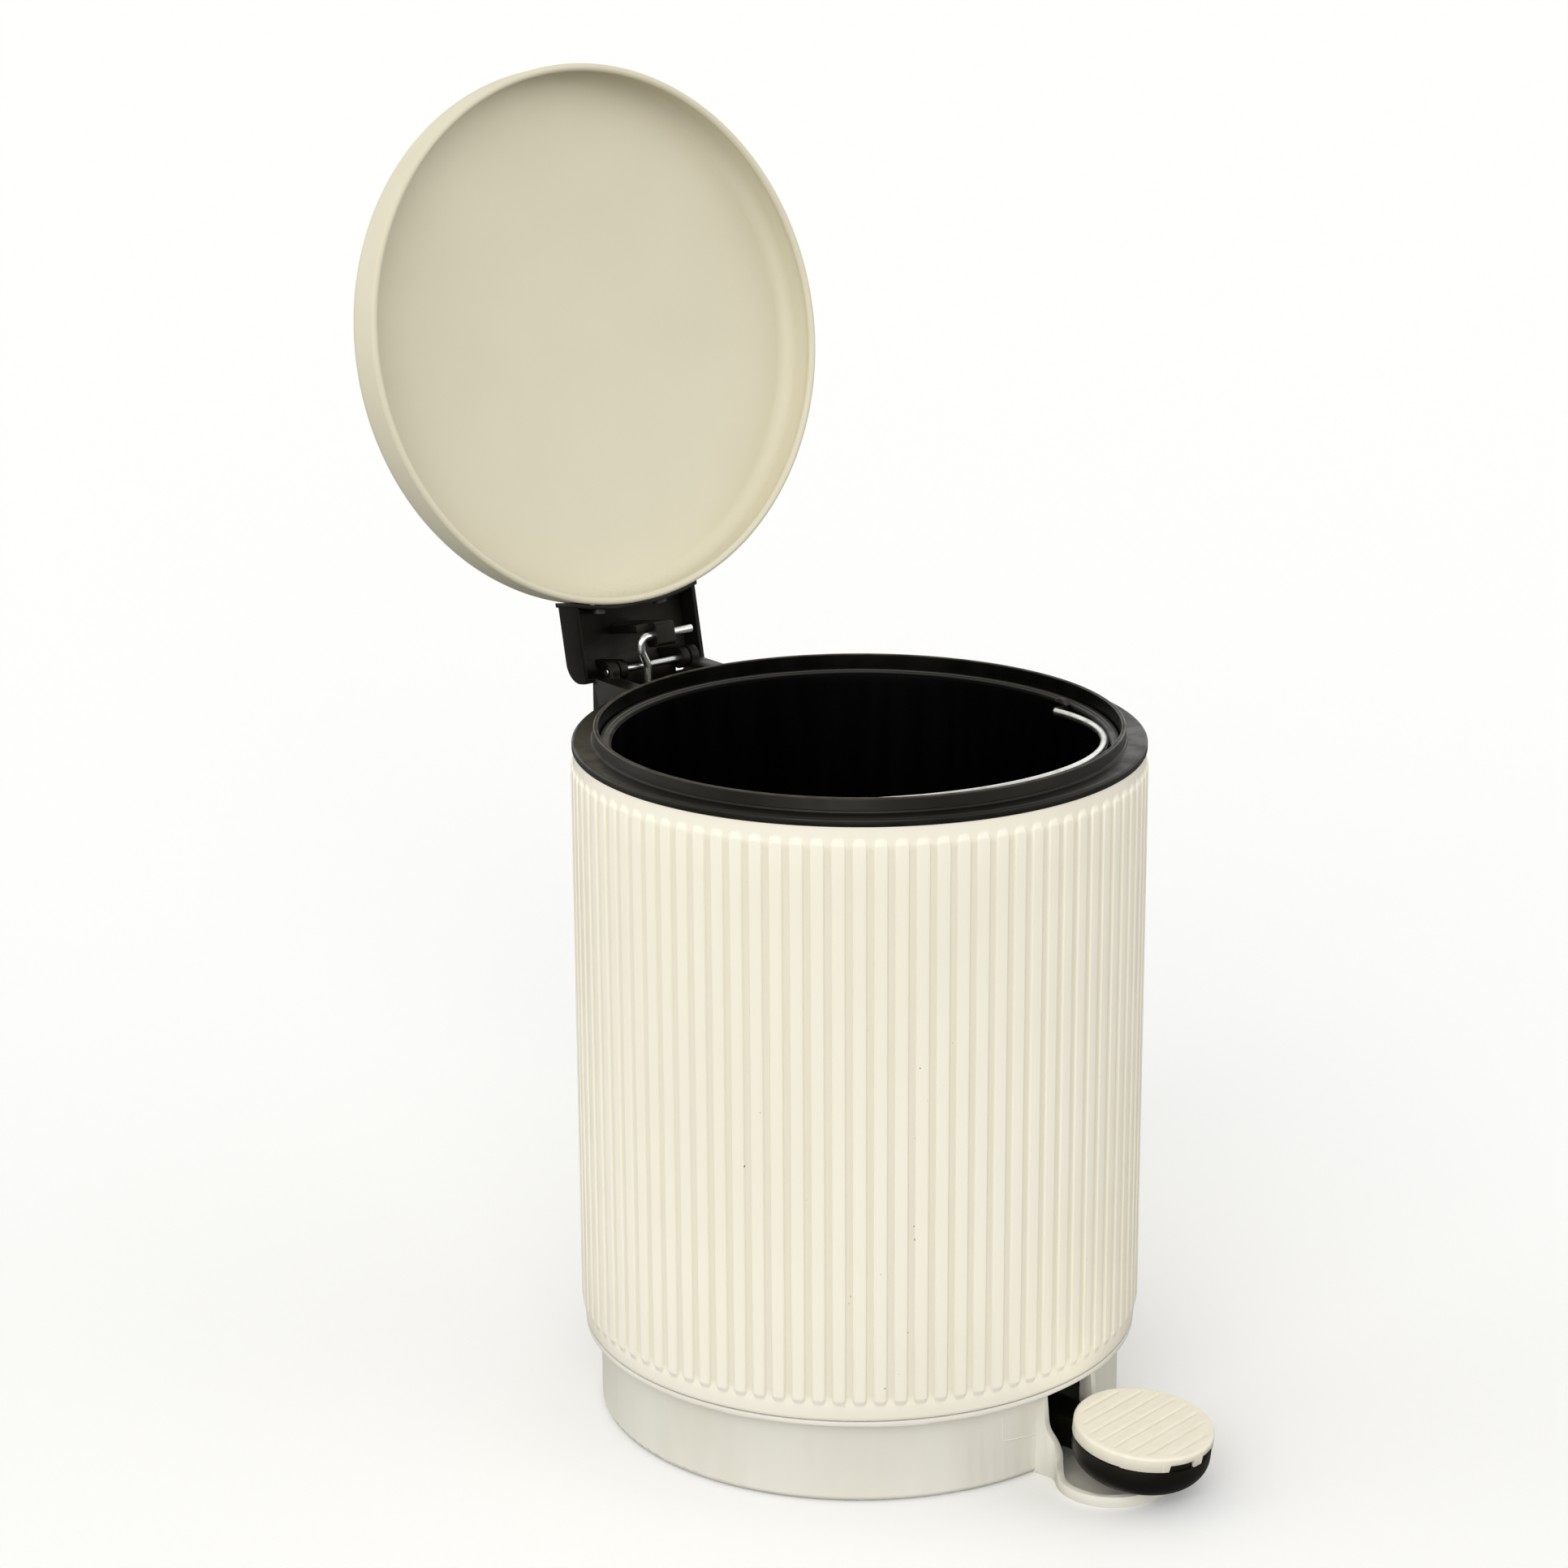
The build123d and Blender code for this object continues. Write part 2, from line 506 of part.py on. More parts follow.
def bail_handle():
    hook_end, bend = BAIL_HOOK_END, BAIL_BEND
    centre_y = (BAIL_REACH ** 2 - BAIL_PIVOT_R ** 2) / (2 * BAIL_REACH)
    bow_r = BAIL_REACH - centre_y
    corner_x = sqrt((bow_r + bend) ** 2 - (bend - centre_y) ** 2)
    lean = degrees(atan2(bend - centre_y, corner_x))
    path = Line((hook_end, 0), (corner_x, 0))
    path += CenterArc((corner_x, bend), bend, 270, lean - 90)
    path += CenterArc((0, centre_y), bow_r, lean, 180 - 2 * lean)
    path += CenterArc((-corner_x, bend), bend, -lean, lean - 90)
    path += Line((-corner_x, 0), (-hook_end, 0))
    section = Plane(origin=(hook_end, 0, 0), z_dir=(-1, 0, 0)) * Circle(BAIL_WIRE_R)
    wire = sweep(section, path=path)
    return Pos(0, 0, BAIL_PIVOT_Z) * Rot(0, 0, BAIL_TURN) * Rot(BAIL_TILT, 0, 0) * wire


PIECES = [
    outer_shell, shell_bottom_plate, base, base_screws, pivot_pin, pivot_clamps, clamp_screws,
    pedal_lever, pedal_cap, top_ring, hinge_housing, housing_screws, hinge_pin,
    lid, lid_bracket, lid_rivets, rod_clip, lift_rod, inner_bucket, bail_handle,
]

os.makedirs("parts", exist_ok=True)
for piece in PIECES:
    export_step(piece(), f"parts/{piece.__name__}.step")
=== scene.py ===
import json
from math import atan2, cos, pi, radians, sin, sqrt, tan

import bmesh
import bpy
import numpy as np
from mathutils import Matrix, Vector


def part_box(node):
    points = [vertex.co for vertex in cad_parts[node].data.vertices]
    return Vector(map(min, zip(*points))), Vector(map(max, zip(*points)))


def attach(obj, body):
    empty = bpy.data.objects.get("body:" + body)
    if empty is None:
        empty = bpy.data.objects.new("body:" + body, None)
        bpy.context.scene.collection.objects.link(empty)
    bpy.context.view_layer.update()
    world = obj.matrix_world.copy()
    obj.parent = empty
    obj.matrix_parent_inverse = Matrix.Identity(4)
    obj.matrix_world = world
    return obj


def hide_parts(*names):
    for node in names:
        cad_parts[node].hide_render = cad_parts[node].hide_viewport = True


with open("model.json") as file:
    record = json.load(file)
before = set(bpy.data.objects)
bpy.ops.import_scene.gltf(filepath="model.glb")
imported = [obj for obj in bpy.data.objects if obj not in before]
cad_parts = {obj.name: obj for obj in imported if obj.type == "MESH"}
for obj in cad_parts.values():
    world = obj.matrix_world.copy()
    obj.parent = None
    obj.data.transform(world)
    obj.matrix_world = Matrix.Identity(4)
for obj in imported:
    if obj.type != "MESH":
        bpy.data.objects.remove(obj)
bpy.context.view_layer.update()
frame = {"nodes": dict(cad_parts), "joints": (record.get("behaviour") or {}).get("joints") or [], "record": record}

MM = 0.001
MAP_RANGE_INPUTS = ("From Min", "From Max", "To Min", "To Max")
joints = {joint["name"]: joint for joint in frame["joints"]}

# Where the CAD says things are, in millimetres
hinge = joints["lid_hinge"]
TWIST = atan2(hinge["axis"][1], hinge["axis"][0])
OPEN_ANGLE = radians(hinge["range_deg"][1])
PIN_Y = Vector(hinge["pos_m"][:2]).length / MM
PIN_Z = hinge["pos_m"][2] / MM
PIN_HALF = 20.4
PIN_R = 1.15

shell_low, shell_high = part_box("outer_shell")
CREST_R = shell_high.x / MM
SHELL_Z0, SHELL_Z1 = shell_low.z / MM, shell_high.z / MM
RIB_COUNT = 90
RIB_HEIGHT = 0.8
SHELL_R = CREST_R - RIB_HEIGHT
SHEET = 0.8
RIB_LOW, RIB_HIGH = 42.3, 243.7      # straight run of the ribs
COLLAR_TOP = 258.3
BUCKET_RIM_Z = 253.0

# Turns a head piece, drawn with the hinge along +Y, into place; the second also opens the lid
ON_HEAD = Matrix.Rotation(TWIST, 4, "Z")
ABOUT_PIN = Matrix.Translation((0, PIN_Y * MM, PIN_Z * MM))
ON_LID = ON_HEAD @ ABOUT_PIN @ Matrix.Rotation(-OPEN_ANGLE, 4, "X") @ ABOUT_PIN.inverted()

PAD_TILT = radians(6.9)
PAD_CENTRE = Vector((0, -131, 25.2)) * MM
ON_PAD = Matrix.Translation(PAD_CENTRE) @ Matrix.Rotation(PAD_TILT, 4, "X")


# ---------------------------------------------------------------- camera, light and floor

def add_camera():
    data = bpy.data.cameras.new("camera")
    data.sensor_width = 36
    data.lens = 90.84
    data.shift_x = -0.0483
    camera = bpy.data.objects.new("camera", data)
    camera.location = (-1.0382, -0.8712, 0.6418)
    camera.rotation_euler = (radians(73.29), 0, radians(-50))
    bpy.context.scene.collection.objects.link(camera)
    bpy.context.scene.camera = camera


def add_sun(name, towards, strength, softness):
    """Soft directional light shining along a direction; softness is its angle in degrees."""
    data = bpy.data.lights.new(name, "SUN")
    data.energy = strength
    data.angle = radians(softness)
    light = bpy.data.objects.new(name, data)
    light.rotation_euler = Vector(towards).to_track_quat("-Z", "Y").to_euler()
    bpy.context.scene.collection.objects.link(light)


def add_lights():
    """A white studio, brightest near the horizon, with a low key light and weaker ones from each side."""
    world = bpy.data.worlds.new("studio")
    bpy.context.scene.world = world
    world.use_nodes = True
    tree = world.node_tree
    background = tree.nodes["Background"]
    direction = tree.nodes.new("ShaderNodeTexCoord")
    height = tree.nodes.new("ShaderNodeSeparateXYZ")
    strengths = []
    for limits in ((-0.3, 0.15, 0.18, 1.12), (0.3, 0.95, 1.0, 0.5)):
        blend = tree.nodes.new("ShaderNodeMapRange")
        blend.interpolation_type = "SMOOTHSTEP"
        for key, number in zip(MAP_RANGE_INPUTS, limits):
            blend.inputs[key].default_value = number
        tree.links.new(height.outputs["Z"], blend.inputs["Value"])
        strengths.append(blend.outputs["Result"])
    strength = tree.nodes.new("ShaderNodeMath")
    strength.operation = "MULTIPLY"
    tree.links.new(direction.outputs["Generated"], height.inputs[0])
    for socket, value in zip(strength.inputs, strengths):
        tree.links.new(value, socket)
    tree.links.new(strength.outputs[0], background.inputs["Strength"])
    background.inputs["Color"].default_value = (1.0, 0.995, 0.98, 1)
    add_sun("key", (0.80, 0.44, -0.36), 1.36, 60)
    add_sun("right", (-0.42, 0.87, -0.25), 0.34, 60)
    add_sun("left", (0.55, -0.75, -0.25), 0.55, 70)
    bpy.context.scene.view_settings.view_transform = "Standard"


def add_floor():
    """Pale floor. It takes shadows but throws no light back, so undersides stay dark."""
    bpy.ops.mesh.primitive_plane_add(size=40)
    floor = bpy.context.object
    floor.name = "floor"
    floor.visible_diffuse = False
    floor.visible_glossy = False
    material = bpy.data.materials.new("floor")
    material.use_nodes = True
    shader = material.node_tree.nodes["Principled BSDF"]
    shader.inputs["Base Color"].default_value = (0.97, 0.97, 0.965, 1)
    shader.inputs["Roughness"].default_value = 0.9
    floor.data.materials.append(material)


# ---------------------------------------------------------------- materials

class Shader:
    """A Principled material with short calls for its texture nodes, in object coordinates (metres)."""

    def __init__(self, name, colour, roughness, metallic=0.0, specular=0.5):
        self.material = bpy.data.materials.new(name)
        self.material.use_nodes = True
        self.tree = self.material.node_tree
        self.bsdf = self.tree.nodes["Principled BSDF"]
        self.bsdf.inputs["Base Color"].default_value = (*colour, 1)
        self.bsdf.inputs["Roughness"].default_value = roughness
        self.bsdf.inputs["Metallic"].default_value = metallic
        self.bsdf.inputs["Specular IOR Level"].default_value = specular
        self.coordinates = self.tree.nodes.new("ShaderNodeTexCoord").outputs["Object"]

    def node(self, kind, **settings):
        node = self.tree.nodes.new(kind)
        for key, value in settings.items():
            setattr(node, key, value)
        return node

    def link(self, a, b):
        self.tree.links.new(a, b)

    def stretched(self, scale):
        """Object coordinates scaled unevenly, for streaks."""
        mapping = self.node("ShaderNodeMapping")
        mapping.inputs["Scale"].default_value = scale
        self.link(self.coordinates, mapping.inputs["Vector"])
        return mapping.outputs["Vector"]

    def noise(self, scale, detail=3.0, roughness=0.5, vector=None):
        noise = self.node("ShaderNodeTexNoise")
        noise.inputs["Scale"].default_value = scale
        noise.inputs["Detail"].default_value = detail
        noise.inputs["Roughness"].default_value = roughness
        self.link(vector or self.coordinates, noise.inputs["Vector"])
        return noise.outputs["Fac"]

    def ranged(self, value, low, high, out_low=0.0, out_high=1.0):
        """Value remapped from low..high to out_low..out_high, clamped and smooth."""
        remap = self.node("ShaderNodeMapRange", interpolation_type="SMOOTHSTEP")
        for key, number in zip(MAP_RANGE_INPUTS, (low, high, out_low, out_high)):
            remap.inputs[key].default_value = number
        self.link(value, remap.inputs["Value"])
        return remap.outputs["Result"]

    def level(self, low, high):
        """0 at the first height and 1 at the second, both in millimetres."""
        place = self.node("ShaderNodeSeparateXYZ")
        self.link(self.coordinates, place.inputs[0])
        return self.ranged(place.outputs["Z"], low * MM, high * MM)

    def from_axis(self, near, far):
        """0 at the first distance from the drum's axis and 1 at the second, both in millimetres."""
        place = self.node("ShaderNodeSeparateXYZ")
        self.link(self.coordinates, place.inputs[0])
        flat = self.node("ShaderNodeCombineXYZ")
        for axis in "XY":
            self.link(place.outputs[axis], flat.inputs[axis])
        radius = self.node("ShaderNodeVectorMath", operation="LENGTH")
        self.link(flat.outputs[0], radius.inputs[0])
        return self.ranged(radius.outputs["Value"], near * MM, far * MM)

    def in_grooves(self):
        """1 at the bottom of the grooves between the drum's ribs, 0 on the crests and plain bands."""
        deep = self.from_axis(CREST_R - 0.3, SHELL_R + 0.1)
        above = self.level(RIB_LOW - 1, RIB_LOW + 2)
        below = self.level(RIB_HIGH + 1, RIB_HIGH - 2)
        return self.times(deep, self.times(above, below))

    def times(self, a, b):
        product = self.node("ShaderNodeMath", operation="MULTIPLY")
        self.link(a, product.inputs[0])
        self.link(b, product.inputs[1])
        return product.outputs[0]

    def mixed(self, factor, a, b):
        """Colour between a and b, each a colour or a socket."""
        mix = self.node("ShaderNodeMix", data_type="RGBA")
        self.link(factor, mix.inputs["Factor"])
        colour_sockets = [socket for socket in mix.inputs if socket.type == "RGBA"]
        for socket, colour in zip(colour_sockets, (a, b)):
            if isinstance(colour, tuple):
                socket.default_value = (*colour, 1)
            else:
                self.link(colour, socket)
        return [socket for socket in mix.outputs if socket.type == "RGBA"][0]

    def colour(self, socket):
        self.link(socket, self.bsdf.inputs["Base Color"])

    def roughness(self, value, low, high, out_low, out_high):
        self.link(self.ranged(value, low, high, out_low, out_high), self.bsdf.inputs["Roughness"])

    def bump(self, *layers):
        """Bump from (height socket, depth in millimetres) layers, one on top of another."""
        normal = None
        for height, depth in layers:
            bump = self.node("ShaderNodeBump")
            bump.inputs["Strength"].default_value = 1.0
            bump.inputs["Distance"].default_value = depth * MM
            self.link(height, bump.inputs["Height"])
            if normal:
                self.link(normal, bump.inputs["Normal"])
            normal = bump.outputs["Normal"]
        self.link(normal, self.bsdf.inputs["Normal"])


def srgb(red, green, blue):
    """Linear colour from 0 to 255 screen values."""
    def linear(value):
        share = value / 255
        return share / 12.92 if share <= 0.04045 else ((share + 0.055) / 1.055) ** 2.4
    return linear(red), linear(green), linear(blue)


def cream_paint():
    """Satin powder coat on steel: faint tone changes, orange peel, painted shade darkening the grooves and a few
    dust specks.
    """
    paint = Shader("cream_paint", srgb(243, 238, 220), 0.42, specular=0.45)
    tone = paint.mixed(
        paint.ranged(paint.noise(9, 2), 0.35, 0.65), srgb(244, 239, 222), srgb(241, 235, 217))
    specks = paint.ranged(paint.noise(640, 1, 0.2), 0.81, 0.84)
    patches = paint.ranged(paint.noise(22, 1), 0.55, 0.64)
    # painted shade: the paint is darkened at the bottom of the grooves between the ribs, where shade falls
    groove_shaded = paint.mixed(paint.in_grooves(), tone, srgb(231, 225, 206))
    paint.colour(paint.mixed(paint.times(specks, patches), groove_shaded, srgb(150, 128, 96)))
    paint.roughness(paint.noise(60, 3), 0.3, 0.7, 0.36, 0.5)
    paint.bump((paint.noise(650, 2), 0.02), (paint.noise(90, 2), 0.05))
    return paint.material


def lid_paint():
    """The drum's paint, darker all over as painted shade, with rusty specks where the lid's rolled rim is lowest
    when open.
    """
    # painted shade: these colours are the drum's paint darkened to match the shade on the lid
    paint = Shader("lid_paint", srgb(214, 208, 184), 0.5, specular=0.4)
    tone = paint.mixed(
        paint.ranged(paint.noise(8, 2), 0.35, 0.65), srgb(215, 209, 186), srgb(211, 204, 180))
    specks = paint.ranged(paint.noise(900, 3, 0.7), 0.6, 0.66)
    rust = paint.times(specks, paint.level(PIN_Z + 32, PIN_Z + 10))
    paint.colour(paint.mixed(rust, tone, srgb(158, 132, 98)))
    paint.roughness(paint.noise(60, 3), 0.3, 0.7, 0.46, 0.6)
    paint.bump((paint.noise(800, 2), 0.02), (paint.noise(80, 2), 0.04))
    return paint.material


def base_plastic():
    """Off-white moulded polypropylene: fine matt grain, faint flow marks."""
    plastic = Shader("base_plastic", srgb(226, 223, 210), 0.5, specular=0.4)
    flow = plastic.noise(30, 3, 0.6, plastic.stretched((1, 1, 0.3)))
    plastic.colour(plastic.mixed(
        plastic.ranged(flow, 0.35, 0.65), srgb(229, 226, 214), srgb(223, 220, 206)))
    plastic.roughness(flow, 0.3, 0.7, 0.44, 0.58)
    plastic.bump((plastic.noise(1400, 2), 0.012), (plastic.noise(60, 2), 0.05))
    return plastic.material


WARM_GLOSS = (1.0, 0.95, 0.84, 1)     # tint of the highlights on the black mouldings


def black_plastic():
    """Dark brown-black moulded plastic with a fine grain and a little dust."""
    plastic = Shader("black_plastic", srgb(11, 10, 7), 0.4, specular=0.22)
    plastic.bsdf.inputs["Specular Tint"].default_value = WARM_GLOSS
    dust = plastic.ranged(plastic.noise(900, 4, 0.75), 0.66, 0.76)
    plastic.colour(plastic.mixed(dust, srgb(11, 10, 7), srgb(42, 39, 32)))
    rubbed = plastic.noise(90, 3, 0.6)
    plastic.roughness(rubbed, 0.35, 0.7, 0.32, 0.48)
    plastic.bump((plastic.noise(1800, 2), 0.012))
    return plastic.material


def ring_plastic():
    """The ring: black plastic, duller on its inner wall and darkened there by painted shade, with a painted
    highlight along the collar's lip.
    """
    plastic = Shader("ring_plastic", srgb(12, 11, 8), 0.4, specular=0.26)
    plastic.bsdf.inputs["Specular Tint"].default_value = WARM_GLOSS
    dust = plastic.ranged(plastic.noise(700, 4, 0.75), 0.64, 0.76)
    # painted shade: inside the collar the wall is painted nearly black for the shade that falls there
    outside = plastic.from_axis(93.3, 94.2)
    skin = plastic.mixed(outside, srgb(3, 3, 2), plastic.mixed(dust, srgb(12, 11, 8), srgb(52, 49, 42)))
    # painted highlight: the top of the collar's lip is painted paler where light catches its edges
    lip_highlight = plastic.times(plastic.level(COLLAR_TOP - 0.35, COLLAR_TOP - 0.1), plastic.ranged(
        plastic.noise(160, 3), 0.3, 0.6, 0.4, 1))
    plastic.colour(plastic.mixed(lip_highlight, skin, srgb(64, 61, 54)))
    plastic.link(plastic.ranged(outside, 0, 1, 0.08, 0.27), plastic.bsdf.inputs["Specular IOR Level"])
    plastic.roughness(plastic.noise(90, 3, 0.6), 0.35, 0.7, 0.3, 0.46)
    plastic.bump((plastic.noise(1800, 2), 0.01), (plastic.noise(45, 2), 0.012))
    return plastic.material


def bucket_plastic():
    """Black satin plastic with faint lines drawn down the wall and a paler, glossier rim."""
    plastic = Shader("bucket_plastic", srgb(1, 1, 1), 0.36, specular=0.04)
    drawn = plastic.noise(150, 2, 0.5, plastic.stretched((1, 1, 0.06)))
    dust = plastic.ranged(plastic.noise(600, 3, 0.7), 0.7, 0.78)
    wall = plastic.mixed(dust, srgb(1, 1, 1), srgb(16, 15, 12))
    rim = plastic.level(BUCKET_RIM_Z - 1.2, BUCKET_RIM_Z - 0.5)
    plastic.colour(plastic.mixed(rim, wall, srgb(38, 37, 33)))
    plastic.link(plastic.ranged(rim, 0, 1, 0.04, 0.5), plastic.bsdf.inputs["Specular IOR Level"])
    plastic.roughness(drawn, 0.3, 0.7, 0.32, 0.44)
    plastic.bump((drawn, 0.008), (plastic.noise(1500, 2), 0.006))
    return plastic.material


def pedal_plastic():
    """Cream moulded plastic, slightly glossier than the paint, scuffed on top."""
    plastic = Shader("pedal_plastic", srgb(231, 225, 206), 0.42, specular=0.4)
    scuff = plastic.noise(240, 4, 0.7, plastic.stretched((0.4, 1, 1)))
    plastic.colour(plastic.mixed(
        plastic.ranged(scuff, 0.4, 0.7), srgb(233, 227, 209), srgb(228, 222, 203)))
    plastic.roughness(scuff, 0.3, 0.7, 0.36, 0.52)
    plastic.bump((plastic.noise(1200, 2), 0.012), (scuff, 0.015))
    return plastic.material


def bright_wire():
    """Zinc plated wire: bright and smooth, a little duller in places."""
    metal = Shader("bright_wire", srgb(232, 234, 230), 0.24, metallic=1.0)
    dull = metal.ranged(metal.noise(140, 3, 0.5), 0.5, 0.75)
    metal.colour(metal.mixed(dull, srgb(236, 238, 234), srgb(206, 208, 202)))
    metal.roughness(metal.noise(140, 3, 0.5), 0.4, 0.75, 0.27, 0.36)
    return metal.material


def blackened_steel():
    """Black oxide on the rivets, rubbed thin in places."""
    metal = Shader("blackened_steel", srgb(30, 29, 26), 0.42, specular=0.4)
    cloud = metal.noise(500, 4, 0.6)
    metal.colour(metal.mixed(metal.ranged(cloud, 0.45, 0.75), srgb(26, 25, 22), srgb(58, 56, 52)))
    metal.roughness(cloud, 0.3, 0.7, 0.36, 0.52)
    metal.bump((metal.noise(2000, 2), 0.008))
    return metal.material


def plain_steel():
    """Duller zinc plating, as on screws, rivets and the pivot pin."""
    metal = Shader("plain_steel", srgb(186, 187, 184), 0.36, metallic=1.0)
    cloud = metal.noise(300, 4, 0.6)
    metal.colour(metal.mixed(metal.ranged(cloud, 0.4, 0.7), srgb(190, 191, 188), srgb(150, 150, 142)))
    metal.roughness(cloud, 0.3, 0.7, 0.3, 0.5)
    metal.bump((metal.noise(2000, 2), 0.008))
    return metal.material


def sheet_steel():
    """Mill finish sheet with rolling lines."""
    metal = Shader("sheet_steel", srgb(170, 171, 168), 0.4, metallic=1.0)
    lines = metal.noise(500, 3, 0.6, metal.stretched((1, 0.03, 1)))
    metal.colour(metal.mixed(metal.ranged(lines, 0.35, 0.7), srgb(176, 177, 174), srgb(142, 142, 138)))
    metal.roughness(lines, 0.3, 0.7, 0.34, 0.5)
    metal.bump((lines, 0.01))
    return metal.material


MATERIALS = {
    make.__name__: make()
    for make in (
        cream_paint, lid_paint, base_plastic, black_plastic, ring_plastic, bucket_plastic,
        pedal_plastic, bright_wire, blackened_steel, plain_steel, sheet_steel,
    )
}


# ---------------------------------------------------------------- mesh helpers

def smoothstep(low, high, value):
    share = np.clip((value - low) / (high - low), 0, 1)
    return share * share * (3 - 2 * share)


def finish_mesh(mesh, crease=32):
    """Consistent normals, smooth shading and sharp edges past the crease angle."""
    work = bmesh.new()
    work.from_mesh(mesh)
    bmesh.ops.remove_doubles(work, verts=work.verts, dist=1e-7)
    bmesh.ops.recalc_face_normals(work, faces=work.faces)
    work.to_mesh(mesh)
    work.free()
    mesh.polygons.foreach_set("use_smooth", [True] * len(mesh.polygons))
    mesh.set_sharp_from_angle(angle=radians(crease))


def add_piece(name, mesh, body, slot, nodes, material=None):
    """Puts a mesh into the scene as a piece that rides on a body and stands for CAD nodes."""
    piece = bpy.data.objects.new(name, mesh)
    bpy.context.scene.collection.objects.link(piece)
    mesh.materials.clear()
    mesh.materials.append(MATERIALS[material or slot])
    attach(piece, body)
    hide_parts(*nodes)
    return piece


def mesh_from(name, verts, faces, matrix=None, crease=32):
    """Mesh in metres from vertices in millimetres, moved by a matrix."""
    mesh = bpy.data.meshes.new(name)
    mesh.from_pydata([tuple(c * MM for c in v) for v in verts], [], faces)
    if matrix is not None:
        mesh.transform(matrix)
    finish_mesh(mesh, crease)
    return mesh


def joined(name, meshes):
    """One mesh out of several."""
    work = bmesh.new()
    for mesh in meshes:
        work.from_mesh(mesh)
    mesh = bpy.data.meshes.new(name)
    work.to_mesh(mesh)
    work.free()
    return mesh


def rounded(corners, steps=6):
    """Outline from (radius, height, fillet) corners; each fillet becomes an arc."""
    points = []
    for i, (x, y, fillet) in enumerate(corners):
        here = Vector((x, y))
        before = Vector(corners[i - 1][:2]) - here
        after = Vector(corners[(i + 1) % len(corners)][:2]) - here
        if fillet == 0:
            points.append((x, y))
            continue
        half = before.angle(after) / 2
        reach = fillet / tan(half)
        centre = here + (before.normalized() + after.normalized()).normalized() * fillet / sin(half)
        start = here + before.normalized() * reach - centre
        turn = start.angle_signed(here + after.normalized() * reach - centre)
        for step in range(steps + 1):
            angle = -turn * step / steps
            arm = Matrix.Rotation(angle, 2) @ start
            points.append((centre.x + arm.x, centre.y + arm.y))
    return points


def lathe(outline, segments=288, radial=None):
    """Vertices and faces of a closed (radius, height) outline turned about +Z.
    radial(angle, radius, height) may add to the radius."""
    verts, faces, rings = [], [], []
    for radius, height in outline:
        if radius < 1e-6:
            rings.append([len(verts)] * segments)
            verts.append((0, 0, height))
            continue
        rings.append(range(len(verts), len(verts) + segments))
        for i in range(segments):
            angle = 2 * pi * i / segments
            r = radius + (radial(angle, radius, height) if radial else 0)
            verts.append((r * cos(angle), r * sin(angle), height))
    for ring, following in zip(rings, rings[1:] + rings[:1]):
        for i in range(segments):
            j = (i + 1) % segments
            face = tuple(dict.fromkeys((ring[i], ring[j], following[j], following[i])))
            if len(face) > 2:
                faces.append(face)
    return verts, faces


def softened(node, width, segments=2, crease=30):
    """Copy of a CAD node's mesh with its sharp edges rounded."""
    mesh = frame["nodes"][node].data.copy()
    work = bmesh.new()
    work.from_mesh(mesh)
    bmesh.ops.remove_doubles(work, verts=work.verts, dist=1e-6)
    bmesh.ops.dissolve_limit(
        work, angle_limit=radians(0.5), use_dissolve_boundaries=False,
        verts=work.verts, edges=work.edges)
    work.to_mesh(mesh)
    work.free()
    source = bpy.data.objects.new(node + "_soft", mesh)
    bpy.context.scene.collection.objects.link(source)
    bevel = source.modifiers.new("edges", "BEVEL")
    bevel.width = width * MM
    bevel.segments = segments
    bevel.limit_method = "ANGLE"
    bevel.angle_limit = radians(crease)
    bevel.use_clamp_overlap = True
    bevel.miter_outer = "MITER_ARC"
    result = bpy.data.meshes.new_from_object(source.evaluated_get(bpy.context.evaluated_depsgraph_get()))
    bpy.data.objects.remove(source)
    finish_mesh(result)
    return result


# ---------------------------------------------------------------- pieces

RIB_FLAT, RIB_FOOT = 1.95, 2.65      # half widths of a rib's flat crest and of its foot
RIB_END = 3.0                        # length over which a rib sinks into the band


def rib_shape(across, past_end):
    """Height share of a rib: across is the distance from its middle, past_end that past its straight run."""
    crown = 1 - 0.1 * (across / RIB_FLAT) ** 2 * (across < RIB_FLAT)
    side = 1 - smoothstep(RIB_FLAT, RIB_FOOT, across + 0.3 * np.maximum(past_end, 0))
    return crown * side * (1 - smoothstep(0, RIB_END, past_end))


